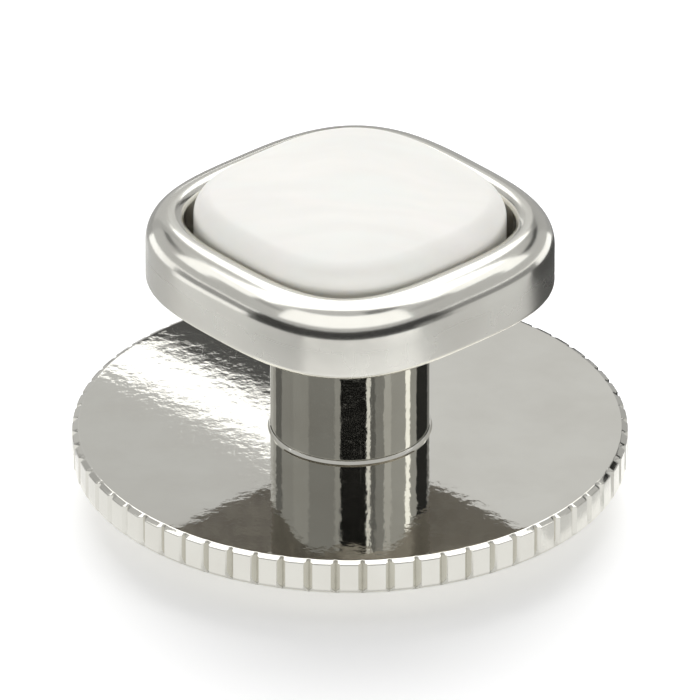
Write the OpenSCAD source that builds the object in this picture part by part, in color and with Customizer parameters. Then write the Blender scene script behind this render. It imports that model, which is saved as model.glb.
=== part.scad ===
// Dress shirt stud. A knurled back disc carries a short inner tube. The head, a cushion-shaped
// bezel with a mother-of-pearl stone, carries the sleeve of the shank, which slides over that
// tube. A pin from the head runs down the tube and shows in the hole in the back of the disc.
// The stud stands on its back disc. The origin is the middle of the flat land under the disc.

/* [Back disc] */
// Diameter of the back disc over its knurled edge
back_d = 15; // [13:0.5:18]
// Height of the knurled band
band_h = 0.9; // [0.7:0.1:1.3]
// Height of the band's lower edge over the surface that the disc stands on
dome_h = 1; // [0.7:0.05:1.2]
// Radius of the gentle dome in the middle of the back
dome_r = 60; // [50:5:120]
// Width of the rounded shoulder between the dome and the band
shoulder_w = 2.1; // [1.7:0.1:2.6]
// Diameter of the flat land in the middle of the back
land_d = 4.8; // [4.2:0.2:6]
// Bevel between the inner face and the knurled band
face_bevel = 0.08; // [0.04:0.01:0.14]

/* [Knurl] */
// Number of grooves round the edge
grooves = 64; // [40:1:70]
// Width of a groove at the rim
groove_w = 0.32; // [0.24:0.02:0.4]
// Depth of a groove
groove_depth = 0.2; // [0.12:0.02:0.28]

/* [Hole and inner tube] */
// Diameter of the bore that runs from the back up the inner tube
bore_d = 2.15; // [1.9:0.05:2.3]
// Width of the countersink round the hole in the back
lip_w = 0.4; // [0.2:0.05:0.5]
// Depth of the countersink
lip_depth = 0.4; // [0.2:0.05:0.6]
// Thickness of the tube's closed end
tube_end = 0.6; // [0.4:0.05:0.9]
// Space between the tube's closed end and the head
tube_room = 0.8; // [0.5:0.05:1.2]

/* [Shank] */
// Outer diameter of the shank's sleeve
shank_d = 4.3; // [4.1:0.1:5]
// Height of the gap between the disc and the head
shank_len = 4.4; // [4.2:0.1:5.5]
// Wall of the sleeve
sleeve_wall = 0.5; // [0.35:0.05:0.6]
// Bevel at the sleeve's open end
sleeve_bevel = 0.08; // [0.04:0.01:0.14]
// Radial clearance between the sleeve and the inner tube
slide_gap = 0.05; // [0.03:0.01:0.08]
// Gap that separate pieces keep where they seat on each other
seat_gap = 0.03; // [0.02:0.01:0.05]

/* [Pin] */
// Diameter of the pin
pin_d = 1.05; // [0.9:0.05:1.2]
// Radial clearance of the pin in the tube's end and in the head's socket
pin_gap = 0.04; // [0.03:0.01:0.08]
// Depth of the pin's tip inside the hole
pin_recess = 0.75; // [0.5:0.05:1.1]
// Length of the tip that stands out of the collar
tip_len = 0.4; // [0.3:0.05:0.6]
// Thickness of the collar
collar_h = 0.3; // [0.2:0.05:0.5]
// Radial clearance of the collar in the bore
collar_gap = 0.3; // [0.15:0.05:0.35]
// Depth of the pin's socket in the head
socket_depth = 0.45; // [0.3:0.05:0.6]

/* [Head] */
// Width of the head across its flats
head_w = 9.8; // [9:0.1:11.5]
// Squareness of the cushion outline, where 2 is a circle
head_square = 3; // [2.6:0.1:3.6]
// Height of the head's straight side
side_h = 1.25; // [1.1:0.05:1.8]
// Rise of the rounded bezel over the straight side
crown_h = 0.85; // [0.5:0.05:1]
// Distance of the bezel's crest inside the straight side
crest_in = 0.7; // [0.5:0.05:0.8]
// Width of the bezel
bezel_w = 1.05; // [0.95:0.05:1.3]
// Drop from the crest to the inner edge of the bezel
inner_drop = 0.2; // [0.1:0.05:0.4]
// Thickness of the head's floor under the stone
floor_t = 0.8; // [0.75:0.05:1]
// Rounding of the edge round the back of the head
back_round = 0.2; // [0.1:0.05:0.35]

/* [Stone] */
// Gap between the stone and the bezel at the flats
stone_gap = 0.06; // [0.04:0.01:0.1]
// Squareness of the stone's outline, rounder than its seat so that a slot shows at each corner
stone_square = 2.85; // [2.5:0.05:3]
// Height of the stone's straight side over the bezel's crest, or under it if less than 0
stone_rise = -0.05; // [-0.1:0.05:0.4]
// Rounding of the stone's shoulder
stone_round = 0.65; // [0.4:0.05:0.8]
// Rise of the domed top over the shoulder
stone_dome = 0.4; // [0.2:0.05:0.6]

/* [Hidden] */
$fn = 96;
cut = 0.5; // overshoot of a cutting solid
head_turn = 45; // puts the corners of the cushion on X and Y

rim_r = back_d / 2;
face_z = dome_h + band_h; // inner face of the disc
head_z = face_z + shank_len; // back of the head
crest_z = head_z + side_h + crown_h;
bore_r = bore_d / 2;
pin_r = pin_d / 2;
shank_r = shank_d / 2;
tube_r = shank_r - sleeve_wall - slide_gap;
tube_top = head_z - tube_room;

// The dome meets the shoulder where the shoulder starts. Its apex is cut off by the land.
// The shoulder's arc laps under the dome and is a hair larger, so that the two cross cleanly.
arc_lap = 0.3;
arc_swell = 0.002;
land_sag = dome_r - sqrt(dome_r * dome_r - land_d * land_d / 4);
dome_centre_z = dome_r - land_sag;
start_r = rim_r - shoulder_w;
start_angle = asin(start_r / dome_r);
start_z = dome_centre_z - dome_r * cos(start_angle);
shoulder_drop = dome_h - start_z;
shoulder_r = (shoulder_w * shoulder_w + shoulder_drop * shoulder_drop)
    / (2 * (shoulder_drop * cos(start_angle) - shoulder_w * sin(start_angle)));
shoulder_centre = [start_r - shoulder_r * sin(start_angle),
                   start_z + shoulder_r * cos(start_angle)];

// A cushion outline: a superellipse with its corners on the diagonals, moved in by a distance.
outline_points = 96;
function signed_power(v, p) = sign(v) * pow(abs(v), p);
function cushion_point(half, square_n, a) =
    half * [signed_power(cos(a), 2 / square_n), signed_power(sin(a), 2 / square_n)];
function unit(v) = v / norm(v);
function cushion_normal(square_n, p) =
    unit([signed_power(p.x, square_n - 1), signed_power(p.y, square_n - 1)]);
// Even steps of direction from the centre, as the angle that the power form needs
function even_angle(square_n, a) =
    atan2(signed_power(sin(a), square_n / 2), signed_power(cos(a), square_n / 2));
function cushion(half, square_n, inset) = [
    for (i = [0 : outline_points - 1])
        let (p = cushion_point(half, square_n, even_angle(square_n, 360 * i / outline_points)))
            p - inset * cushion_normal(square_n, p)
];

// A solid through rings, each made from one row of [inset, z, scale] of a cushion outline
module cushion_loft(half, square_n, rows) {
    n = outline_points;
    points = [
        for (row = rows)
            for (p = cushion(half, square_n, row[0]))
                [p.x * row[2], p.y * row[2], row[1]]
    ];
    last = (len(rows) - 1) * n;
    faces = concat(
        [[for (i = [0 : n - 1]) i]],
        [for (k = [0 : len(rows) - 2])
            for (i = [0 : n - 1])
                let (a = k * n + i, b = k * n + (i + 1) % n)
                    [a, a + n, b + n]],
        [for (k = [0 : len(rows) - 2])
            for (i = [0 : n - 1])
                let (a = k * n + i, b = k * n + (i + 1) % n)
                    [a, b + n, b]],
        [[for (i = [n - 1 : -1 : 0]) last + i]]
    );
    polyhedron(points = points, faces = faces);
}

module disc_section() {
    // Gently domed middle
    intersection() {
        square([start_r, face_z]);
        translate([0, dome_centre_z]) circle(dome_r, $fn = 360);
    }
    // Rounded shoulder and the band
    difference() {
        intersection() {
            translate([start_r - arc_lap, 0]) square([shoulder_w + arc_lap, face_z]);
            translate(shoulder_centre) circle(shoulder_r + arc_swell);
        }
        translate([rim_r, face_z]) rotate(45) square(face_bevel * sqrt(2), center = true);
    }
}

module knurl_cutter() {
    flare = (groove_depth + cut) / groove_depth;
    translate([rim_r - groove_depth, 0, 0])
        linear_extrude(face_z + cut)
            polygon([[0, 0],
                     [groove_depth * flare, -groove_w / 2 * flare],
                     [groove_depth * flare, groove_w / 2 * flare]]);
}

module back_disc() {
    color("silver")
        difference() {
            union() {
                rotate_extrude() disc_section();
                translate([0, 0, face_z - cut])
                    cylinder(h = tube_top - face_z + cut, r = tube_r);
            }
            for (i = [0 : grooves - 1])
                rotate(360 / grooves * i) knurl_cutter();
            translate([0, 0, -cut])
                cylinder(h = tube_top - tube_end + cut, r = bore_r);
            translate([0, 0, tube_top - tube_end - cut])
                cylinder(h = tube_end + 2 * cut, r = pin_r + pin_gap);
            countersink();
        }
}

module countersink() {
    slope = lip_w / lip_depth;
    translate([0, 0, -cut])
        cylinder(h = lip_depth + cut, r1 = bore_r + lip_w + cut * slope, r2 = bore_r);
}

// Rows from the middle of the head's back, round the outside and over the crest to the seat
edge_steps = 2;
arc_steps = 5;
head_rows = concat(
    [for (k = [0 : edge_steps])
        let (a = 90 * k / edge_steps)
            [back_round * (1 - sin(a)), back_round * (1 - cos(a)), 1]],
    [for (k = [0 : arc_steps])
        let (a = 90 * k / arc_steps)
            [crest_in * (1 - cos(a)), side_h + crown_h * sin(a), 1]],
    [for (k = [1 : arc_steps])
        let (a = 90 * k / arc_steps)
            [crest_in + (bezel_w - crest_in) * sin(a),
             side_h + crown_h - inner_drop * (1 - cos(a)), 1]],
    [[bezel_w, floor_t, 1]]
);

module head_setting() {
    color("silver")
        difference() {
            union() {
                translate([0, 0, head_z])
                    rotate(head_turn) cushion_loft(head_w / 2, head_square, head_rows);
                sleeve();
            }
            translate([0, 0, head_z - cut])
                cylinder(h = socket_depth + cut, r = pin_r + pin_gap);
        }
}

module sleeve() {
    end_z = face_z + seat_gap;
    difference() {
        union() {
            translate([0, 0, end_z])
                cylinder(h = sleeve_bevel, r1 = shank_r - sleeve_bevel, r2 = shank_r);
            translate([0, 0, end_z + sleeve_bevel])
                cylinder(h = head_z - end_z - sleeve_bevel, r = shank_r);
        }
        translate([0, 0, end_z - cut])
            cylinder(h = head_z - end_z + cut, r = tube_r + slide_gap);
    }
}

// The stone fits its seat at the flats, and is rounder than the seat at the corners
stone_half = head_w / 2 - bezel_w - stone_gap;
stone_low = head_z + floor_t + seat_gap;
stone_side_z = crest_z + stone_rise; // the straight side ends here
// The shoulder turns until it has the slope of the dome's foot
dome_slope = atan(2 * stone_dome / (stone_half - stone_round));
turn = 90 - dome_slope;
dome_inset = stone_round * (1 - cos(turn));
dome_foot_z = stone_side_z + stone_round * sin(turn);
turn_steps = 5;
top_steps = 6;
stone_rows = concat(
    [[0, stone_low, 1]],
    [for (k = [0 : turn_steps])
        let (a = turn * k / turn_steps)
            [stone_round * (1 - cos(a)), stone_side_z + stone_round * sin(a), 1]],
    [for (k = [1 : top_steps])
        let (s = 1 - k / (top_steps + 1))
            [dome_inset, dome_foot_z + stone_dome * (1 - s * s), s]]
);

module stone() {
    color("ivory")
        rotate(head_turn) cushion_loft(stone_half, stone_square, stone_rows);
}

module pin() {
    collar_r = bore_r - collar_gap;
    shaft_z = pin_recess + pin_r;
    color("gainsboro")
        union() {
            translate([0, 0, shaft_z]) sphere(pin_r);
            translate([0, 0, shaft_z])
                cylinder(h = head_z + socket_depth - seat_gap - shaft_z, r = pin_r);
            translate([0, 0, pin_recess + tip_len]) cylinder(h = collar_h, r = collar_r);
        }
}

back_disc();
head_setting();
stone();
pin();
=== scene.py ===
# %% [markdown]
# # A dress shirt stud in polished metal and mother-of-pearl
#
# This lesson dresses the plain solids of a small shirt stud. The real one is a turned and plated
# brass disc with a knurled edge, a shank that slides like a telescope, and a cushion-shaped
# bezel that holds a low stone cut from shell. We load the solids first, because they give every
# size and place, and then make one finely shaped piece for each of them.

# %% Load the solids
import math

import bmesh
import bpy
from mathutils import Matrix, Vector


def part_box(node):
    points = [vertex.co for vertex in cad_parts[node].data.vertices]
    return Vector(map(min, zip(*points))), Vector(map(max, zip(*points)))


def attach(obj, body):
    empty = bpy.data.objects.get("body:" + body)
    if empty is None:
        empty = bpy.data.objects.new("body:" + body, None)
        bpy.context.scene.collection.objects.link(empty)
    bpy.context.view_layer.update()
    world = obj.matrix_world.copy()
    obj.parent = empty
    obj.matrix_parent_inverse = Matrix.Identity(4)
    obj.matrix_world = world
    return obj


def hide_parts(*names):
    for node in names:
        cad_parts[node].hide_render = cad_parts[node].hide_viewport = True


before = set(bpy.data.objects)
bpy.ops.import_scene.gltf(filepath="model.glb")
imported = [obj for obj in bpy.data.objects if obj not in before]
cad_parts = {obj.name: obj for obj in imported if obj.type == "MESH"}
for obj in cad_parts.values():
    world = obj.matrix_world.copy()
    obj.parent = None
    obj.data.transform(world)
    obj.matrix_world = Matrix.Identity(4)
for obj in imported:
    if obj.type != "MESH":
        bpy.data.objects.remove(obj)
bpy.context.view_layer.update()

# %% [markdown]
# ## Sizes
#
# A jeweller works in millimetres and Blender in metres, so one constant turns the first into the
# second. The outer sizes are measured on the solids, so the new pieces keep to them. The finer
# ones, such as the height of the bezel's side, are the maker's own and are written down by name.

# %% Sizes
MM = 0.001
MERGE = 0.001 * MM
tube_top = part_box("back_disc")[1].z
crest_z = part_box("head_setting")[1].z
stone_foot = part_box("stone")[0].z
pin_tip, pin_end = (corner.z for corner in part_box("pin"))

disc_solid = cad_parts["back_disc"].data
rim_r = max(math.hypot(vertex.co.x, vertex.co.y) for vertex in disc_solid.vertices)
side_h = 1.25 * MM
crown_h = 0.85 * MM
head_z = crest_z - side_h - crown_h
shank_len = 4.4 * MM
face_z = head_z - shank_len
band_h = 0.9 * MM
dome_h = face_z - band_h
print("rim radius", round(rim_r / MM, 3), "face", round(face_z / MM, 3), "head", round(head_z / MM, 3))

# %% [markdown]
# ## Working in edit mode
#
# Nearly every step below is one that you would do by hand: add a primitive, go into edit mode,
# pick some vertices or faces, and extrude, inset or scale them. An operator acts on all that is
# selected, so these helpers first let go of everything and then pick by place.


# %% Helpers for edit mode
def let_go():
    """Leaves edit mode and deselects every object."""
    if bpy.context.object and bpy.context.object.mode != "OBJECT":
        bpy.ops.object.mode_set(mode="OBJECT")
    bpy.ops.object.select_all(action="DESELECT")


def edit(piece):
    """Makes the piece the only selected object and opens it in edit mode."""
    let_go()
    piece.select_set(True)
    bpy.context.view_layer.objects.active = piece
    bpy.ops.object.mode_set(mode="EDIT")


def pick(piece, kind, wanted):
    """Selects the vertices, edges or faces for which wanted(element) is true."""
    bpy.ops.mesh.select_mode(type=kind)
    bpy.ops.mesh.select_all(action="DESELECT")
    mesh = bmesh.from_edit_mesh(piece.data)
    elements = {"VERT": mesh.verts, "EDGE": mesh.edges, "FACE": mesh.faces}[kind]
    for element in elements:
        if wanted(element):
            element.select = True
    mesh.select_flush_mode()
    bmesh.update_edit_mesh(piece.data)


# %% [markdown]
# ## Clean shading on a very small mesh
#
# A polished piece needs normals that are truly flat on flat faces and turn only on the rounded
# ones. The Weighted Normal modifier does that by the area of the faces. Here the faces are so
# small in metres that it takes all areas as equal, so the mesh is enlarged a thousand times
# while the modifier is applied, and brought back to its real size after it.


# %% Helpers that finish a mesh
def resize_mesh(piece, factor):
    """Scales the piece's mesh and leaves the object's own scale at 1."""
    piece.scale = (factor, factor, factor)
    bpy.ops.object.transform_apply(location=False, rotation=False, scale=True)


def finish_mesh(piece, angle=35):
    """Turns the normals outwards, shades smooth up to an angle and weights the normals."""
    bpy.ops.mesh.select_all(action="SELECT")
    bpy.ops.mesh.normals_make_consistent(inside=False)
    bpy.ops.object.mode_set(mode="OBJECT")
    bpy.ops.object.shade_smooth_by_angle(angle=math.radians(angle))
    resize_mesh(piece, 1 / MM)
    bpy.ops.object.modifier_add(type="WEIGHTED_NORMAL")
    piece.modifiers[-1].keep_sharp = True
    piece.modifiers[-1].thresh = 0
    bpy.ops.object.modifier_apply(modifier=piece.modifiers[-1].name)
    resize_mesh(piece, MM)
    print(piece.name, len(piece.data.polygons), "faces,", [round(side / MM, 2) for side in piece.dimensions])


# %% [markdown]
# ## Turning on a lathe
#
# The disc, the sleeve and the pin are turned parts, and Blender's lathe is the Spin tool. We
# draw half of the section as a chain of edges: one vertex, extruded from point to point. The
# corners are then bevelled as vertices, because no real edge is perfectly sharp and a rounded
# one catches a thin line of light. Spin carries the chain once round the axis.


# %% Helpers for turned pieces
def arc(centre, radius, start, end, steps):
    """Points (r, z) on an arc round a centre, from one angle in degrees to another."""
    angles = [math.radians(start + (end - start) * step / steps) for step in range(steps + 1)]
    return [(centre[0] + radius * math.cos(a), centre[1] + radius * math.sin(a)) for a in angles]


def near(vertex, point):
    """True if the vertex of a section lies at the point (r, z)."""
    return math.hypot(vertex.co.x - point[0], vertex.co.z - point[1]) < MERGE


def draw_section(name, points, closed):
    """Draws a chain of edges through points (r, z) in the XZ plane, in edit mode."""
    let_go()
    bpy.ops.mesh.primitive_plane_add(size=MM)
    piece = bpy.context.object
    piece.name = piece.data.name = name
    edit(piece)
    bpy.ops.mesh.select_mode(type="VERT")
    bpy.ops.mesh.select_all(action="SELECT")
    bpy.ops.mesh.merge(type="CENTER")
    bpy.ops.transform.translate(value=(points[0][0], 0, points[0][1]))
    for here, there in zip(points, points[1:]):
        step = (there[0] - here[0], 0, there[1] - here[1])
        bpy.ops.mesh.extrude_region_move(TRANSFORM_OT_translate={"value": step})
    if closed:
        ends = (points[0], points[-1])
        pick(piece, "VERT", lambda v: any(near(v, point) for point in ends))
        bpy.ops.mesh.edge_face_add()
    return piece


def round_corner(piece, point, radius, segments=4):
    """Bevels one corner of a section."""
    pick(piece, "VERT", lambda v: near(v, point))
    bpy.ops.mesh.bevel(offset=radius, segments=segments, affect="VERTICES")


def turn(steps, angle=math.tau):
    """Spins the whole section counterclockwise round the Z axis, which Spin does about -Z."""
    bpy.ops.mesh.select_all(action="SELECT")
    bpy.ops.mesh.spin(steps=steps, angle=angle, center=(0, 0, 0), axis=(0, 0, -1))
    bpy.ops.mesh.select_all(action="SELECT")
    bpy.ops.mesh.remove_doubles(threshold=MERGE)


# %% [markdown]
# ## The back disc
#
# The disc is cut from brass sheet with a gently domed back, so that it slips through a stud hole
# and lies soft on the skin. A countersunk hole opens in its middle and a short tube stands on
# its inner face. The whole section is one closed chain. A fine raised ring centres the sleeve
# where it lands. Its outside leans in a little, so it shows as a bright line round the foot of
# the shank.

# %% Sizes of the back disc
bore_r = 1.075 * MM
pin_hole_r = 0.565 * MM
lip = 0.4 * MM
land_r = 2.4 * MM
dome_r = 60 * MM
shoulder_w = 2.1 * MM
bevel_w = 0.16 * MM
bevel_h = 0.08 * MM
flat_edge = 0.3 * MM
tube_r = 1.6 * MM
tube_end = 0.6 * MM
sleeve_r = 2.15 * MM
ring_in = 2.16 * MM
ring_top = 2.19 * MM
ring_foot = 2.22 * MM
ring_h = 0.09 * MM
print("disc", round(2 * rim_r / MM, 2), "mm across, hole", round(2 * bore_r / MM, 2), "mm")

# %% [markdown]
# ## The curve of the back
#
# The back is two arcs. The dome is so flat that its centre lies 60 mm up the axis, and it starts
# where the land in the middle ends. The shoulder leaves the dome in the dome's own direction and
# ends on the knurled band, so the polished back has no crease. A little geometry gives its
# radius and its centre.

# %% Two arcs for the back
dome_steps = 10
shoulder_steps = 16
straight_down = -90

# The dome's centre lies on the axis, and its arc starts on the land at z = 0.
dome_centre = (0, math.sqrt(dome_r**2 - land_r**2))
dome_start = math.degrees(math.asin(land_r / dome_r))
start_r = rim_r - shoulder_w
dome_slope = math.degrees(math.asin(start_r / dome_r))
start_z = dome_centre[1] - dome_r * math.cos(math.radians(dome_slope))

# The shoulder starts at start_r, start_z and drops outwards to the band.
drop = dome_h - start_z
slope_sin = math.sin(math.radians(dome_slope))
slope_cos = math.cos(math.radians(dome_slope))
shoulder_r = (shoulder_w**2 + drop**2) / (2 * (drop * slope_cos - shoulder_w * slope_sin))
shoulder_centre = (start_r - shoulder_r * slope_sin, start_z + shoulder_r * slope_cos)
shoulder_end = math.degrees(math.asin((rim_r - shoulder_centre[0]) / shoulder_r))
print("shoulder arc radius", round(shoulder_r / MM, 2), "mm")

# %% Draw the section of the back disc
section = [(pin_hole_r, tube_top - tube_end), (bore_r, tube_top - tube_end)]
section += [(bore_r, lip), (bore_r + lip, 0)]
dome_ends = (straight_down + dome_start, straight_down + dome_slope)
shoulder_ends = (straight_down + dome_slope, straight_down + shoulder_end)
section += arc(dome_centre, dome_r, *dome_ends, dome_steps)
section += arc(shoulder_centre, shoulder_r, *shoulder_ends, shoulder_steps)[1:]
section += [(rim_r, face_z - bevel_h), (rim_r - bevel_w, face_z), (rim_r - flat_edge, face_z)]
section += [(ring_foot, face_z), (ring_top, face_z + ring_h)]
section += [(ring_in, face_z + ring_h), (ring_in, face_z)]
section += [(tube_r, face_z), (tube_r, tube_top), (pin_hole_r, tube_top)]

# Each corner to round: its point, its radius and the segments of its bevel.
corners = (
    ((bore_r, tube_top - tube_end), 0.05 * MM, 4),
    ((bore_r, lip), 0.05 * MM, 4),
    ((bore_r + lip, 0), 0.06 * MM, 4),
    ((rim_r, dome_h), 0.07 * MM, 4),
    ((rim_r, face_z - bevel_h), 0.025 * MM, 2),
    ((rim_r - bevel_w, face_z), 0.025 * MM, 2),
    ((ring_top, face_z + ring_h), 0.01 * MM, 2),
    ((ring_in, face_z + ring_h), 0.008 * MM, 2),
    ((tube_r, face_z), 0.06 * MM, 4),
    ((tube_r, tube_top), 0.08 * MM, 4),
)
back = draw_section("back_plate", section, closed=True)
for point, radius, segments in corners:
    round_corner(back, point, radius, segments)
print("section of the disc:", len(section), "points,", len(corners), "corners rounded")

# %% [markdown]
# ## The knurled edge
#
# A knurl is rolled or cut into the rim so that fingertips can grip the disc. It repeats, so we
# model one tooth and copy it: the section is spun through one 64th of a turn in twelve columns
# of vertices, and the columns near each end are scaled towards the axis as far as half a
# round-bottomed groove needs. The plating has filled the grooves a little, so they are slightly
# narrower than the cutter left them. The groove floor keeps one radius, so on the rounded
# shoulder the grooves run out by themselves and leave small nubs. Spin with duplicates sets out
# the other teeth, and merging the doubled vertices joins them.

# %% Helpers for the knurl
grooves = 64
columns_each = 12
groove_half = 0.115 * MM
groove_depth = 0.17 * MM
tooth_angle = math.tau / grooves
column_w = tooth_angle / columns_each * rim_r
same_ring = 0.01 * MERGE


def column_of(vertex):
    """How many columns a vertex of the tooth lies from the nearer groove's middle."""
    column = round(math.atan2(vertex.co.y, vertex.co.x) / tooth_angle * columns_each)
    return min(column, columns_each - column)


def radius_of(vertex):
    """Distance of a vertex from the axis."""
    return math.hypot(vertex.co.x, vertex.co.y)


def groove_floor(column):
    """Radius that a column of vertices may not pass."""
    away = min(column * column_w / groove_half, 1)
    return rim_r - groove_depth * (0.5 + 0.5 * math.cos(math.pi * away))


def on_ring(vertex, column, ring):
    """True if the vertex belongs to a column and to a ring of the tooth."""
    return column_of(vertex) == column and abs(radius_of(vertex) - ring) < same_ring


# %% Turn one tooth, press its grooves and copy it round
section_radii = {vertex.co.x for vertex in bmesh.from_edit_mesh(back.data).verts}
rings = sorted(radius for radius in section_radii if radius > groove_floor(0))
turn(columns_each, tooth_angle)
for column in range(columns_each // 2):
    for ring in rings:
        shrink = groove_floor(column) / ring
        if shrink < 1:
            pick(back, "VERT", lambda v: on_ring(v, column, ring))
            bpy.ops.transform.resize(value=(shrink, shrink, 1), center_override=(0, 0, 0))
bpy.ops.mesh.select_all(action="SELECT")
rest_of_turn = math.tau - tooth_angle
bpy.ops.mesh.spin(steps=grooves - 1, angle=rest_of_turn, dupli=True, center=(0, 0, 0), axis=(0, 0, -1))
bpy.ops.mesh.select_all(action="SELECT")
bpy.ops.mesh.remove_doubles(threshold=MERGE)
finish_mesh(back)
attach(back, "back")
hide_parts("back_disc")

# %% [markdown]
# ## The cushion outline
#
# The head is a cushion: a square with bowed sides and round corners. The curve that draws it is
# a superellipse, and a circle primitive becomes one when each of its vertices is scaled to the
# curve's reach in that direction. The four corners lie on the X and Y axes. Vertices that
# mirror each other across the axes and the diagonals share one scale, so they go together.

# %% Helpers for cushion-shaped pieces
around = 256


def cushion_reach(half, squareness, angle):
    """Distance from the centre to the cushion's outline at an angle, corners on the axes."""
    a = angle - math.tau / 8
    power = abs(math.cos(a)) ** squareness + abs(math.sin(a)) ** squareness
    return half / power ** (1 / squareness)


def eighth_of(vertex):
    """Folds a vertex's direction into the first eighth turn, counted in steps of the circle."""
    step = round(math.atan2(vertex.co.y, vertex.co.x) / math.tau * around) % (around // 4)
    return min(step, around // 4 - step)


def cushion_face(name, half, squareness, z):
    """Adds a flat cushion-shaped face at a height and leaves it selected in edit mode."""
    let_go()
    bpy.ops.mesh.primitive_circle_add(vertices=around, radius=half, fill_type="NGON", location=(0, 0, z))
    piece = bpy.context.object
    piece.name = piece.data.name = name
    bpy.ops.object.transform_apply(location=True)
    edit(piece)
    for step in range(around // 8 + 1):
        scale = cushion_reach(half, squareness, math.tau * step / around) / half
        pick(piece, "VERT", lambda v: eighth_of(v) == step)
        bpy.ops.transform.resize(value=(scale, scale, 1), center_override=(0, 0, 0))
    pick(piece, "FACE", lambda face: True)
    return piece


def extrude_up(rise):
    """Extrudes what is selected straight up, or down if the rise is negative."""
    bpy.ops.mesh.extrude_region_move(TRANSFORM_OT_translate={"value": (0, 0, rise)})


def bevel_foot(piece, z, radius, segments):
    """Rounds the edge round a piece's flat underside at a height."""
    pick(piece, "EDGE", lambda edge: all(abs(v.co.z - z) < MERGE for v in edge.verts))
    bpy.ops.mesh.bevel(offset=radius, segments=segments, affect="EDGES")


# %% [markdown]
# ## The bezel cup
#
# A bezel is a metal rim that is pushed over the edge of a stone to hold it. This one is part of
# a cast cup: a straight side, a rounded crown and a seat for the stone. One cushion-shaped face
# is extruded up for the side. Then insets with a little depth each follow a quarter oval up to
# the crest and a short arc down to the stone, and a last extrusion sinks the seat.

# %% Model the bezel cup
head_half = 4.9 * MM
head_squareness = 3
crest_in = 0.7 * MM
bezel_w = 1.05 * MM
inner_drop = 0.2 * MM
floor_t = 0.8 * MM
back_round = 0.2 * MM
crown_steps = 16
inner_steps = 12

crown = []
for step in range(crown_steps + 1):
    a = math.tau / 4 * step / crown_steps
    crown.append((crest_in * (1 - math.cos(a)), crown_h * math.sin(a)))
inner_w = bezel_w - crest_in
inner_turn = 2 * math.atan(inner_drop / inner_w)
inner_r = inner_w / math.sin(inner_turn)
for step in range(1, inner_steps + 1):
    a = inner_turn * step / inner_steps
    crown.append((crest_in + inner_r * math.sin(a), crown_h - inner_r * (1 - math.cos(a))))

bezel = cushion_face("bezel_cup", head_half, head_squareness, head_z)
extrude_up(side_h)
for here, there in zip(crown, crown[1:]):
    bpy.ops.mesh.inset(thickness=there[0] - here[0], depth=there[1] - here[1])
extrude_up(floor_t - side_h - crown[-1][1])
bevel_foot(bezel, head_z, back_round, segments=6)
finish_mesh(bezel)
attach(bezel, "head")
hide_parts("head_setting")

# %% [markdown]
# ## The sleeve
#
# The sleeve is the outer tube of the shank. It is soldered under the cup and slides over the
# disc's inner tube. It is turned like the disc, with a fine bevel at its open end and a small
# fillet of solder where it meets the cup.

# %% Turn the sleeve
seat_gap = 0.03 * MM
sleeve_inner = 1.65 * MM
sleeve_end = face_z + seat_gap
sleeve_bevel = 0.02 * MM
bevel_edge = 0.008 * MM
fillet = 0.14 * MM
sink = 0.1 * MM

wall = [(sleeve_inner, head_z + sink), (sleeve_inner, sleeve_end)]
wall += [(sleeve_r - sleeve_bevel, sleeve_end), (sleeve_r, sleeve_end + sleeve_bevel)]
wall += arc((sleeve_r + fillet, head_z - fillet), fillet, start=180, end=90, steps=6)
wall += [(sleeve_r + fillet, head_z + sink)]
sleeve = draw_section("shank_sleeve", wall, closed=True)
round_corner(sleeve, (sleeve_r - sleeve_bevel, sleeve_end), bevel_edge)
round_corner(sleeve, (sleeve_r, sleeve_end + sleeve_bevel), bevel_edge)
turn(steps=192)
finish_mesh(sleeve)
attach(sleeve, "head")
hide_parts("head_setting")

# %% [markdown]
# ## The stone
#
# The stone is a low cabochon ground from the nacre of a shell, a little rounder than its seat,
# so a dark slot is left at each corner. It sits just low enough for the bezel's crest to hold
# it and to show as a thin rim behind it. The side is extruded, the shoulder is a run of insets on
# an arc, and the dome is made by extruding a little and scaling towards the middle each time.

# %% Model the stone
stone_gap = 0.06 * MM
stone_half = head_half - bezel_w - stone_gap
stone_squareness = 2.85
below_crest = 0.05 * MM
stone_side_z = crest_z - below_crest
stone_round = 0.65 * MM
stone_dome = 0.4 * MM
stone_foot_round = 0.1 * MM
turn_steps = 14
top_steps = 24

stone = cushion_face("stone_cabochon", stone_half, stone_squareness, stone_foot)
extrude_up(stone_side_z - stone_foot)
foot_slope = math.atan(2 * stone_dome / (stone_half - stone_round))
shoulder_turn = math.pi / 2 - foot_slope
before = (0, 0)
for step in range(1, turn_steps + 1):
    a = shoulder_turn * step / turn_steps
    after = (stone_round * (1 - math.cos(a)), stone_round * math.sin(a))
    bpy.ops.mesh.inset(thickness=after[0] - before[0], depth=after[1] - before[1])
    before = after
for step in range(1, top_steps):
    size_before = 1 - (step - 1) / top_steps
    size_after = 1 - step / top_steps
    extrude_up(stone_dome * (size_before**2 - size_after**2))
    ratio = size_after / size_before
    bpy.ops.transform.resize(value=(ratio, ratio, 1), center_override=(0, 0, 0))
bevel_foot(stone, stone_foot, stone_foot_round, segments=3)
finish_mesh(stone)
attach(stone, "head")
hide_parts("stone")

# %% [markdown]
# ## The pin
#
# A round pin runs down the middle of the shank, and its domed tip shows in the hole in the back.
# A collar round it carries the spring. The section is open: it starts and ends on the axis, where
# the spun points merge into one.

# %% Turn the pin
pin_r = 0.525 * MM
tip_h = 0.4 * MM
collar_h = 0.3 * MM
collar_room = 0.3 * MM
collar_round = 0.04 * MM
end_round = 0.05 * MM
collar_low = pin_tip + tip_h
collar_high = collar_low + collar_h
collar_r = bore_r - collar_room

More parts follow.
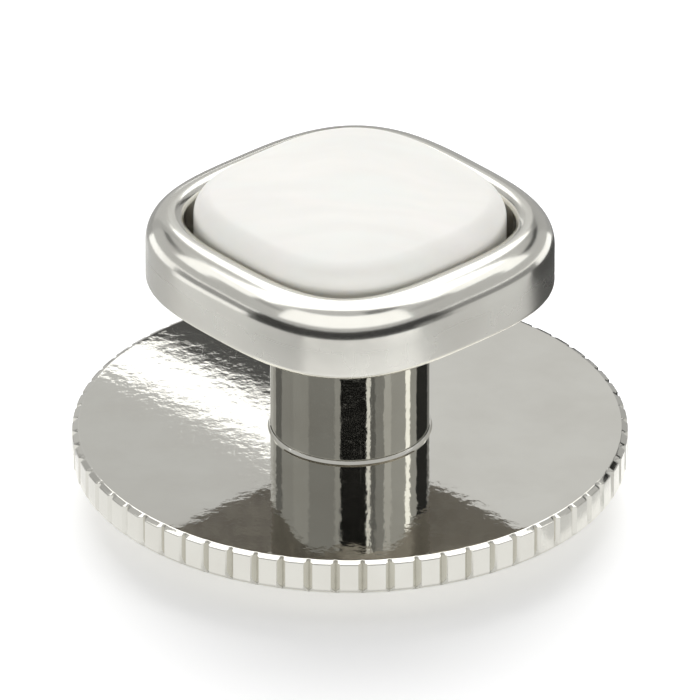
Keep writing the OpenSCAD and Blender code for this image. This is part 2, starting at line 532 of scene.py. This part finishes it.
tip = arc((0, pin_tip + pin_r), pin_r, start=straight_down, end=0, steps=12)
tip[0] = (0, pin_tip)
tip = [point for point in tip if point[1] < collar_low]
tip_r = math.sqrt(pin_r**2 - (pin_tip + pin_r - collar_low) ** 2)
rod = tip + [(tip_r, collar_low), (collar_r, collar_low)]
rod += [(collar_r, collar_high), (pin_r, collar_high), (pin_r, pin_end), (0, pin_end)]
pin = draw_section("pin_rod", rod, closed=False)
round_corner(pin, (collar_r, collar_low), collar_round)
round_corner(pin, (collar_r, collar_high), collar_round)
round_corner(pin, (pin_r, pin_end), end_round)
turn(steps=96)
finish_mesh(pin)
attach(pin, "post")
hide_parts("pin")

# %% [markdown]
# ## How the finishes are made
#
# Every finish below is procedural: it is worked out from the piece's own coordinates, so it stays
# on the piece when it moves and needs no pictures. These helpers start a material, put it on a
# piece, and set a socket either from another socket or from a plain number.


# %% Helpers that start a finish and put it on
def new_material(name):
    """Makes a material, and returns it with its node tree, its shader and its coordinates."""
    material = bpy.data.materials.new(name)
    material.use_nodes = True
    tree = material.node_tree
    coords = tree.nodes.new("ShaderNodeTexCoord").outputs["Object"]
    return material, tree, tree.nodes["Principled BSDF"], coords


def connect(tree, value, socket):
    """Links a socket to a socket, or sets a plain value on it."""
    if isinstance(value, bpy.types.NodeSocket):
        tree.links.new(value, socket)
    else:
        socket.default_value = value


def put_on(piece, material):
    """Gives a piece one material."""
    piece.data.materials.clear()
    piece.data.materials.append(material)
    print(piece.name, "wears", material.name)


def axes(tree, coords):
    """The X, Y and Z of the coordinates."""
    node = tree.nodes.new("ShaderNodeSeparateXYZ")
    tree.links.new(coords, node.inputs["Vector"])
    return node.outputs["X"], node.outputs["Y"], node.outputs["Z"]


# %% [markdown]
# ## Patterns out of nodes
#
# Each of these helpers adds one kind of node, so that a finish reads like a recipe. Noise gives
# clouds and ripples of a real size, spread maps a value to a range, compute does one step of
# arithmetic, blend mixes two colours, and bump turns a height in metres into a slight tilt of
# the surface.


# %% Helpers for patterns
def noise(tree, coords, feature, detail=2.0, stretch=(1, 1, 1), turned=(0, 0, 0)):
    """Noise whose features are about as wide as given, longer along axes with a low stretch."""
    mapping = tree.nodes.new("ShaderNodeMapping")
    mapping.inputs["Scale"].default_value = stretch
    mapping.inputs["Rotation"].default_value = turned
    tree.links.new(coords, mapping.inputs["Vector"])
    texture = tree.nodes.new("ShaderNodeTexNoise")
    texture.inputs["Scale"].default_value = 1 / feature
    texture.inputs["Detail"].default_value = detail
    tree.links.new(mapping.outputs["Vector"], texture.inputs["Vector"])
    return texture.outputs["Fac"]


def spread(tree, value, from_low, from_high, low, high):
    """Maps a value from one range to another and keeps it there."""
    node = tree.nodes.new("ShaderNodeMapRange")
    for socket, number in zip(node.inputs, (value, from_low, from_high, low, high)):
        connect(tree, number, socket)
    return node.outputs["Result"]


def compute(tree, operation, *values):
    """One step of arithmetic on numbers or sockets."""
    node = tree.nodes.new("ShaderNodeMath")
    node.operation = operation
    for socket, value in zip(node.inputs, values):
        connect(tree, value, socket)
    return node.outputs["Value"]


def blend(tree, factor, first, second):
    """Blends two colours by a factor."""
    node = tree.nodes.new("ShaderNodeMix")
    node.data_type = "RGBA"
    connect(tree, factor, node.inputs["Factor"])
    for name, colour in (("A", first), ("B", second)):
        connect(tree, (*colour, 1) if isinstance(colour, tuple) else colour, node.inputs[name])
    return node.outputs["Result"]


def bump(tree, height, depth, below=None):
    """A bump of a real depth, over another bump if one is given."""
    node = tree.nodes.new("ShaderNodeBump")
    node.inputs["Strength"].default_value = 1
    node.inputs["Distance"].default_value = depth
    tree.links.new(height, node.inputs["Height"])
    if below:
        tree.links.new(below, node.inputs["Normal"])
    return node.outputs["Normal"]


# %% [markdown]
# ## Plated metal
#
# The stud is brass under a thin bright plating. Such a surface is never a perfect mirror: the
# polish leaves a faint waviness that makes the edges of reflections ragged, fine hairlines from
# handling, and a few patches that are a little duller. The waves are about 0.3 mm long, with
# finer ones on them, and their depth is a few thousandths of a millimetre at most. Hairlines are
# noise stretched very long and cut to its thinnest crests. The base recipe takes the roughness
# as a number or a socket, so each piece can be duller in one place than in another.

# %% The base recipe for plating
PLATE = (0.74, 0.73, 0.675)
DULL_PLATE = (0.69, 0.675, 0.62)
SHADE_AND_POLISH_TINT = (0.22, 0.20, 0.17)
MICRON = 0.001 * MM
patch_size = 1.6 * MM
patch_range = (0.35, 0.75)
hair_w = 0.05 * MM
hair_stretch = (1, 0.03, 0.03)
hair_crest = (0.7, 0.76)
ripple_size = 0.3 * MM
grain_size = 0.03 * MM
shade_and_polish_rough = 0.35


def hairlines(tree, coords, turned):
    """1 on thin long scratches that run one way, 0 elsewhere."""
    streaks = noise(tree, coords, hair_w, 1, hair_stretch, (0, 0, turned))
    return spread(tree, streaks, *hair_crest, 0, 1)


def plate(tree, shader, coords, roughness, ripple_depth, scratched=0.05, shade_and_polish=None, grain_depth=0.0):
    """Puts plating on a shader: tint, patches, hairlines, ripples and fine grain."""
    shader.inputs["Metallic"].default_value = 1
    patches = noise(tree, coords, patch_size, 4)
    colour = blend(tree, spread(tree, patches, *patch_range, 0, 1), PLATE, DULL_PLATE)
    rough = compute(tree, "ADD", roughness, spread(tree, patches, *patch_range, 0, 0.03))
    for turned in (0.4, 1.9):
        rough = compute(tree, "MULTIPLY_ADD", hairlines(tree, coords, turned), scratched, rough)
    # The mask darkens the colour with painted shade and a little polish left in the grooves.
    if shade_and_polish:
        colour = blend(tree, shade_and_polish, colour, SHADE_AND_POLISH_TINT)
        rough = compute(tree, "MULTIPLY_ADD", shade_and_polish, shade_and_polish_rough, rough)
    tree.links.new(colour, shader.inputs["Base Color"])
    tree.links.new(rough, shader.inputs["Roughness"])
    normal = bump(tree, noise(tree, coords, ripple_size, 3), ripple_depth)
    if grain_depth:
        normal = bump(tree, noise(tree, coords, grain_size, 2), grain_depth, normal)
    tree.links.new(normal, shader.inputs["Normal"])


# %% [markdown]
# ## The disc's finish
#
# The inner face of the disc is a mirror and its domed back and its rim are satin. The grooves of the
# knurl are darkened in the colour, partly by a little dark polish that has stayed in them and partly
# by painted shade. The height tells the face from the rest. The angle round the axis, counted in
# grooves and folded to and fro by Ping-Pong, tells how far a point lies from the middle of a groove.


# %% Finish of the back disc
def groove_shade_and_polish(tree, coords):
    """Mask of painted shade and left polish: 1 at the bottom of each groove, 0 on the lands, the inner face
    and the domed back.
    """
    x, y, z = axes(tree, coords)
    count = compute(tree, "MULTIPLY", compute(tree, "ARCTAN2", y, x), grooves / math.tau)
    from_groove = compute(tree, "PINGPONG", count, 0.5)
    in_groove = spread(tree, from_groove, 0.04, 0.2, 1, 0)
    below_face = spread(tree, z, face_z - 0.09 * MM, face_z - 0.02 * MM, 1, 0)
    y_squared = compute(tree, "MULTIPLY", y, y)
    radius = compute(tree, "SQRT", compute(tree, "MULTIPLY_ADD", x, x, y_squared))
    at_rim = spread(tree, radius, rim_r - 0.6 * MM, rim_r - 0.3 * MM, 0, 1)
    return compute(tree, "MULTIPLY", in_groove, compute(tree, "MULTIPLY", below_face, at_rim))


satin_rim = 0.17
mirror_face = 0.03
shade_and_polish_share = 0.05

disc_metal, tree, shader, coords = new_material("disc_metal")
height = axes(tree, coords)[2]
disc_rough = spread(tree, height, face_z - 0.1 * MM, face_z - 0.03 * MM, satin_rim, mirror_face)
# Painted shade and a little left polish darken the bottoms of the knurl's grooves.
shade_and_polish = compute(tree, "MULTIPLY", groove_shade_and_polish(tree, coords), shade_and_polish_share)
plate(tree, shader, coords, disc_rough, ripple_depth=3.6 * MICRON, shade_and_polish=shade_and_polish)
put_on(back, disc_metal)

# %% [markdown]
# ## The setting's finish
#
# The crown of the bezel is polished and its straight side is left satin, with a very fine grain,
# so the side glows evenly and the crown shows clear lights with soft ends. Its underside is out
# of reach of the polishing wheel and keeps the dull brown-grey skin of the casting, as a second
# material. The skin is painted lighter on the right and darker on the left, as painted light and
# shade, and the disc mirrors both.

# %% Plating of the bezel cup
side_top = head_z + side_h
satin_side = 0.27
bright_crown = 0.15
ripple_depth = 1.5 * MICRON

setting_metal, tree, shader, coords = new_material("setting_metal")
height = axes(tree, coords)[2]
setting_rough = spread(tree, height, side_top - 0.4 * MM, side_top + 0.1 * MM, satin_side, bright_crown)
plate(tree, shader, coords, setting_rough, ripple_depth, scratched=0.02, grain_depth=0.15 * MICRON)
put_on(bezel, setting_metal)

# %% Casting skin under the bezel cup
LIGHT_SKIN = (0.46, 0.425, 0.38)
DARK_SKIN = (0.17, 0.155, 0.135)
facing_down = -0.9

cast_metal, tree, shader, coords = new_material("cast_metal")
shader.inputs["Metallic"].default_value = 0.6
# Painted light and shade: the skin is made lighter towards the right and darker towards the left.
painted_side_light = spread(tree, axes(tree, coords)[0], -3 * MM, 3 * MM, -0.45, 0.45)
skin_tone_and_side_light = compute(tree, "SUBTRACT", noise(tree, coords, 0.5 * MM, 4), painted_side_light)
tree.links.new(blend(tree, skin_tone_and_side_light, LIGHT_SKIN, DARK_SKIN), shader.inputs["Base Color"])
tree.links.new(spread(tree, skin_tone_and_side_light, 0.3, 0.7, 0.28, 0.42), shader.inputs["Roughness"])
tree.links.new(bump(tree, noise(tree, coords, 0.08 * MM, 3), 1.5 * MICRON), shader.inputs["Normal"])
bezel.data.materials.append(cast_metal)
for face in bezel.data.polygons:
    if face.normal.z < facing_down and face.center.z < head_z + back_round:
        face.material_index = 1

# %% [markdown]
# ## The sleeve's and the pin's finish
#
# The sleeve is the brightest part, but a thin tube is hard to polish evenly, so its waves are a
# little deeper than the disc's and the stripes that it mirrors have wavering edges. The pin is
# turned steel with a plainer, softer shine.

# %% Plating of the sleeve and the pin
sleeve_metal, tree, shader, coords = new_material("sleeve_metal")
plate(tree, shader, coords, roughness=0.05, ripple_depth=4.5 * MICRON)
put_on(sleeve, sleeve_metal)

pin_metal, tree, shader, coords = new_material("pin_metal")
plate(tree, shader, coords, roughness=0.13, ripple_depth=0.8 * MICRON)
put_on(pin, pin_metal)

# %% [markdown]
# ## Mother-of-pearl
#
# Nacre is a stack of very thin clear layers, so it is milky, has a soft glow from within and
# shows faint bands where the stone was ground across the layers. Growth bands are noise stretched
# along one way and bent by a second, slower noise. The pink and the green that it shows at some
# angles are held very faint. A little subsurface scattering softens the shading.

# %% Finish of the stone
MILK = (0.9, 0.885, 0.84)
MILK_SHADE = (0.835, 0.828, 0.79)
GROWTH_BAND = (0.82, 0.808, 0.77)
ROSY = (0.915, 0.86, 0.845)
GREENISH = (0.855, 0.895, 0.855)
cut_angle = 0.5

shell, tree, shader, coords = new_material("shell")
bend = spread(tree, noise(tree, coords, 4 * MM, 1), 0, 1, -1.2 * MM, 1.2 * MM)
x, y, z = axes(tree, coords)
bent = tree.nodes.new("ShaderNodeCombineXYZ")
connect(tree, compute(tree, "ADD", x, bend), bent.inputs["X"])
connect(tree, compute(tree, "ADD", y, bend), bent.inputs["Y"])
connect(tree, z, bent.inputs["Z"])
layers = bent.outputs["Vector"]
bands = noise(tree, layers, 0.7 * MM, 3, (0.22, 1, 0.6), (0, 0, cut_angle))
clouds = noise(tree, layers, 2.2 * MM, 3, (0.5, 1, 1), (0, 0, cut_angle))
milk = blend(tree, spread(tree, clouds, 0.3, 0.7, 0, 1), MILK, MILK_SHADE)
milk = blend(tree, spread(tree, bands, 0.4, 0.72, 0, 0.5), milk, GROWTH_BAND)
rosy = noise(tree, layers, 1.5 * MM, 2, (0.3, 1, 1), (0, 0, cut_angle))
green = noise(tree, layers, 1.1 * MM, 2, (0.35, 1, 1), (0, 0, 0.9))
milk = blend(tree, spread(tree, rosy, 0.5, 0.75, 0, 0.35), milk, ROSY)
milk = blend(tree, spread(tree, green, 0.5, 0.75, 0, 0.35), milk, GREENISH)
tree.links.new(milk, shader.inputs["Base Color"])
tree.links.new(spread(tree, bands, 0.3, 0.7, 0.32, 0.42), shader.inputs["Roughness"])
tree.links.new(bump(tree, noise(tree, coords, 0.5 * MM, 1), 0.4 * MICRON), shader.inputs["Normal"])
shader.inputs["Subsurface Weight"].default_value = 0.25
shader.inputs["Subsurface Radius"].default_value = (1, 0.9, 0.75)
shader.inputs["Subsurface Scale"].default_value = 0.5 * MM
put_on(stone, shell)

# %% [markdown]
# ## The studio
#
# Polished metal has no look of its own: it shows the room. So the studio is built from plain
# cards that only reflections can see. Most are pieces of a ring round the stud, given by their
# azimuths, where 0 is the camera's side and 90 the right, and by elevations or a line of two
# points. Every part of the stud looks its own way into the room, so each card has one task, and
# they were set one at a time, with a render after each.

# %% Helpers for the studio
view_azimuth = math.radians(3)
view_elevation = math.radians(29.25)
cards = []


def face_camera(thing):
    """Turns a thing of the studio about the upright axis, to the side that the camera is on."""
    bpy.context.view_layer.update()
    thing.matrix_world = Matrix.Rotation(view_azimuth, 4, "Z") @ thing.matrix_world


def glowing(name, strength):
    """A material that glows evenly, or is nearly black at a low strength."""
    material = bpy.data.materials.new(name)
    material.use_nodes = True
    nodes = material.node_tree.nodes
    nodes.remove(nodes["Principled BSDF"])
    glow = nodes.new("ShaderNodeEmission")
    glow.inputs["Strength"].default_value = strength
    material.node_tree.links.new(glow.outputs["Emission"], nodes["Material Output"].inputs["Surface"])
    return material


def make_card(sheet, name, strength):
    """Makes a sheet a card of the studio that only reflections see."""
    sheet.name = sheet.data.name = name
    sheet.data.materials.append(glowing(name, strength))
    sheet.visible_camera = False
    sheet.visible_diffuse = False
    sheet.visible_shadow = False
    face_camera(sheet)
    cards.append(sheet)


# %% [markdown]
# ## Three kinds of card
#
# A ring card is part of a ring round the stud. It is drawn and spun like the turned pieces. A
# wall card is a ring card that stands upright, and is given by how high its lower and upper edges
# look from the middle of the stud. A flat card is a plain sheet, overhead or leaning.

# %% Helpers for cards
card_middle = 6 * MM
card_steps = 24


def ring_card(name, azimuths, line, strength):
    """A card swept round the axis from a line of two points (r, z)."""
    sheet = draw_section(name, line, closed=False)
    bpy.ops.mesh.select_all(action="SELECT")
    sweep = math.radians(azimuths[1] - azimuths[0])
    bpy.ops.mesh.spin(steps=card_steps, angle=sweep, center=(0, 0, 0), axis=(0, 0, -1))
    let_go()
    sheet.rotation_euler.z = math.radians(azimuths[0] - 90)
    make_card(sheet, name, strength)


def wall_card(name, azimuths, elevations, distance, strength):
    """An upright ring card between two elevations, seen from the middle of the stud."""
    line = [(distance, card_middle + distance * math.tan(math.radians(el))) for el in elevations]
    ring_card(name, azimuths, line, strength)


def flat_card(name, centre, size, strength, lean=None):
    """A flat card: overhead if it lies level, or upright and leaning by an angle."""
    let_go()
    bpy.ops.mesh.primitive_plane_add(size=1, location=centre)
    sheet = bpy.context.object
    sheet.scale = (size[0], size[1], 1)
    if lean is not None:
        sheet.rotation_euler = (math.radians(90), -math.radians(lean), 0)
    make_card(sheet, name, strength)


# %% [markdown]
# ## Cards for the crown and the disc
#
# The front strip and the wings make the lower white band of the crown. They stand very close to
# it, above the rays that the shank sees, so the shank stays free of them. A dark flag ends the
# upper band on the right. The coves behind give the disc its even grey and shade the crown's
# two side corners.

# %% Strips by the crown and coves behind
strip_r = 8.3 * MM
strip_white = 1.35

wall_card("front_strip", (-39, 36), (16.4, 38), strip_r, strip_white)
for side in (-1, 1):
    wall_card("wing_strip", sorted((side * 58, side * 71)), (27, 37), strip_r, strip_white)
    wall_card("wing_panel", sorted((side * 71, side * 85)), (21, 37), strip_r, strip_white)
wall_card("crown_flag", (32, 72), (50, 66), distance=0.1, strength=0.2)
wall_card("back_cove", (168, 192), (21, 40), distance=0.3, strength=0.73)
wall_card("left_cove", (192, 213), (-2, 40), distance=0.3, strength=0.62)
wall_card("low_cove", (140, 224), (-2, 40), distance=0.32, strength=0.5)
print(len(cards), "cards round the crown and behind")

# %% [markdown]
# ## Stripes for the shank
#
# A polished tube squeezes the whole room into thin upright lines. It mirrors each azimuth at
# half its angle, so a row of narrow cards, all at one height, gives it its light and dark lines,
# and the disc mirrors them once more.

# %% Stripes that the shank shows
stripe_elevations = (25.5, 33)
stripe_r = 0.2

# Azimuth from, azimuth to, strength.
stripes = (
    (-136, -117, 0.18),
    (-117, -90, 0.36),
    (-90, -62, 0.40),
    (-62, -22, 0.30),
    (-22, -14, 0.42),
    (-14, 24, 0.01),
    (24, 29, 1.1),
    (29, 37, 0.17),
    (37, 50, 0.32),
    (50, 62, 0.62),
    (62, 88, 0.48),
    (88, 97, 1.6),
    (97, 112, 0.45),
    (112, 150, 0.03),
    (150, 164, 0.25),
)
for turned_from, turned_to, strength in stripes:
    wall_card("shank_stripe", (turned_from, turned_to), stripe_elevations, stripe_r, strength)
print(len(stripes), "stripes for the shank")

# %% [markdown]
# ## Rings that stand for the table
#
# Steep surfaces look down at the table. Flat rings just over the floor tell them what to see. A
# dark table in front makes the thin dark line under the crown, and rings near the rim light the
# knurl and the bezel's satin side, a little less on the left and on the right.


# %% Rings on the floor
def flat_line(inner, outer, over_floor):
    """The line of a ring that lies level: inner and outer radius and height, in millimetres."""
    return [(inner * MM, over_floor * MM), (outer * MM, over_floor * MM)]


# Name, azimuths, inner radius, outer radius and height in millimetres, strength.
table_rings = (
    ("front_table", (-75, 70), (19.3, 600, 0.1), 0.05),
    ("left_rim_light", (-98, -35), (8.2, 12.5, 0.2), 1.02),
    ("front_rim_light", (-35, 52), (8.2, 12.5, 0.2), 1.02),
    ("left_side_shade", (-98, -35), (12.5, 19.3, 0.2), 0.76),
    ("far_left_shade", (-134, -98), (8.2, 30, 0.2), 0.6),
    ("side_light", (-35, 52), (12.5, 19.3, 0.2), 1.3),
    ("back_table", (140, 226), (21, 290, 0.15), 0.42),
    ("left_shade", (185, 226), (12, 21, 0.1), 0.75),
    ("left_table", (-98, -75), (30, 110, 0.1), 0.35),
    ("right_table", (70, 105), (30, 110, 0.1), 0.3),
    ("right_shade", (55, 98), (9, 30, 0.1), 0.74),
    ("back_shade", (98, 185), (9, 30, 0.1), 0.08),
)
for name, azimuths, ring, strength in table_rings:
    ring_card(name, azimuths, flat_line(*ring), strength)
print(len(table_rings), "rings on the floor")

# %% [markdown]
# ## Cards overhead and behind
#
# The strip and the panel overhead make the upper white band of the crown. Behind, to the left,
# a leaning light card over a leaning dark one draws the bright streak across the disc and the
# dark patch beyond it, and a pale card brings the disc back to grey.

# %% Cards overhead and behind
flat_card("top_strip", (0, 0.0125, 0.15), (0.4, 0.087), strength=2)
flat_card("top_panel", (0, 0.0795, 0.151), (0.16, 0.221), strength=2)
flat_card("left_pale", (-6 * MM, 27 * MM, 16 * MM), (7.6 * MM, 12 * MM), 0.63, lean=0)
flat_card("streak_light", (-5.2 * MM, 25 * MM, 14.4 * MM), (9 * MM, 1.3 * MM), 1.7, lean=30)
flat_card("streak_dark", (-4.2 * MM, 25 * MM, 12.7 * MM), (9 * MM, 2.0 * MM), 0.1, lean=30)
print(len(cards), "cards that reflections see")

# %% [markdown]
# ## The floor and the lamps
#
# The floor is plain and pale and runs out of the picture on every side. It glows a little, so the
# shadow under the disc stays light. An even sky lights the whole stud. A soft lamp behind makes
# the stone brightest at its back, a dark shade over the front lets it fall off to grey there,
# and a low lamp in front keeps its edge from going dark. Reflections see none of the three.


# %% Helper for lamps
def lamp(name, azimuth, elevation, distance, size, brightness):
    """A square area lamp that lights the stud but isn't seen in its reflections."""
    a, e = math.radians(azimuth), math.radians(elevation)
    way = Vector((math.sin(a) * math.cos(e), -math.cos(a) * math.cos(e), math.sin(e)))
    bpy.ops.object.light_add(type="AREA", location=way * distance)
    light = bpy.context.object
    light.name = name
    light.data.size = size
    light.data.energy = brightness * math.pi * size**2
    light.rotation_euler = way.to_track_quat("Z", "Y").to_euler()
    light.visible_glossy = False
    face_camera(light)
    print(name, "gives", round(light.data.energy, 2), "watts")


# %% Shade, floor, sky and lamps
floor_side = 3
floor_glow = 0.3
sky_strength = 0.6

wall_card("front_shade", (-70, 70), (30, 70), distance=0.2, strength=0)
shade = bpy.context.object
shade.visible_glossy = False
shade.visible_diffuse = True
shade.visible_shadow = True

let_go()
bpy.ops.mesh.primitive_plane_add(size=floor_side)
floor = bpy.context.object
floor.name = "floor"
material, tree, shader, coords = new_material("floor")
shader.inputs["Base Color"].default_value = (0.95, 0.95, 0.95, 1)
shader.inputs["Roughness"].default_value = 0.9
shader.inputs["Specular IOR Level"].default_value = 0
shader.inputs["Emission Color"].default_value = (1, 1, 1, 1)
shader.inputs["Emission Strength"].default_value = floor_glow
floor.data.materials.append(material)

world = bpy.context.scene.world or bpy.data.worlds.new("studio")
bpy.context.scene.world = world
world.use_nodes = True
background = world.node_tree.nodes["Background"]
background.inputs["Color"].default_value = (1, 1, 1, 1)
background.inputs["Strength"].default_value = sky_strength
lamp("back_lamp", azimuth=180, elevation=36, distance=0.3, size=0.3, brightness=3.6)
lamp("front_lamp", azimuth=0, elevation=8, distance=0.3, size=0.12, brightness=9.5)
print("floor", floor_side, "m wide")

# %% [markdown]
# ## The camera
#
# The photograph was taken with a long lens from about 29 degrees above the table, and the head's
# front corner points a little to the left of it. A long lens keeps the ovals of the disc true,
# so the camera stands half a metre away and looks at the middle of the stud.

# %% Camera
camera_distance = 0.5
lens_mm = 955
sensor_mm = 36
aim_height = 4.2 * MM

aim = Vector((0, 0, aim_height))
way = Vector((0, -math.cos(view_elevation), math.sin(view_elevation)))
bpy.ops.object.camera_add(location=aim + way * camera_distance)
camera = bpy.context.object
camera.name = "camera"
camera.rotation_euler = way.to_track_quat("Z", "Y").to_euler()
face_camera(camera)
camera.data.lens = lens_mm
camera.data.sensor_width = sensor_mm
camera.data.clip_start = 0.01
camera.data.clip_end = 10
bpy.context.scene.camera = camera
bpy.context.scene.view_settings.view_transform = "Standard"
print("camera at", [round(value, 3) for value in camera.matrix_world.translation])
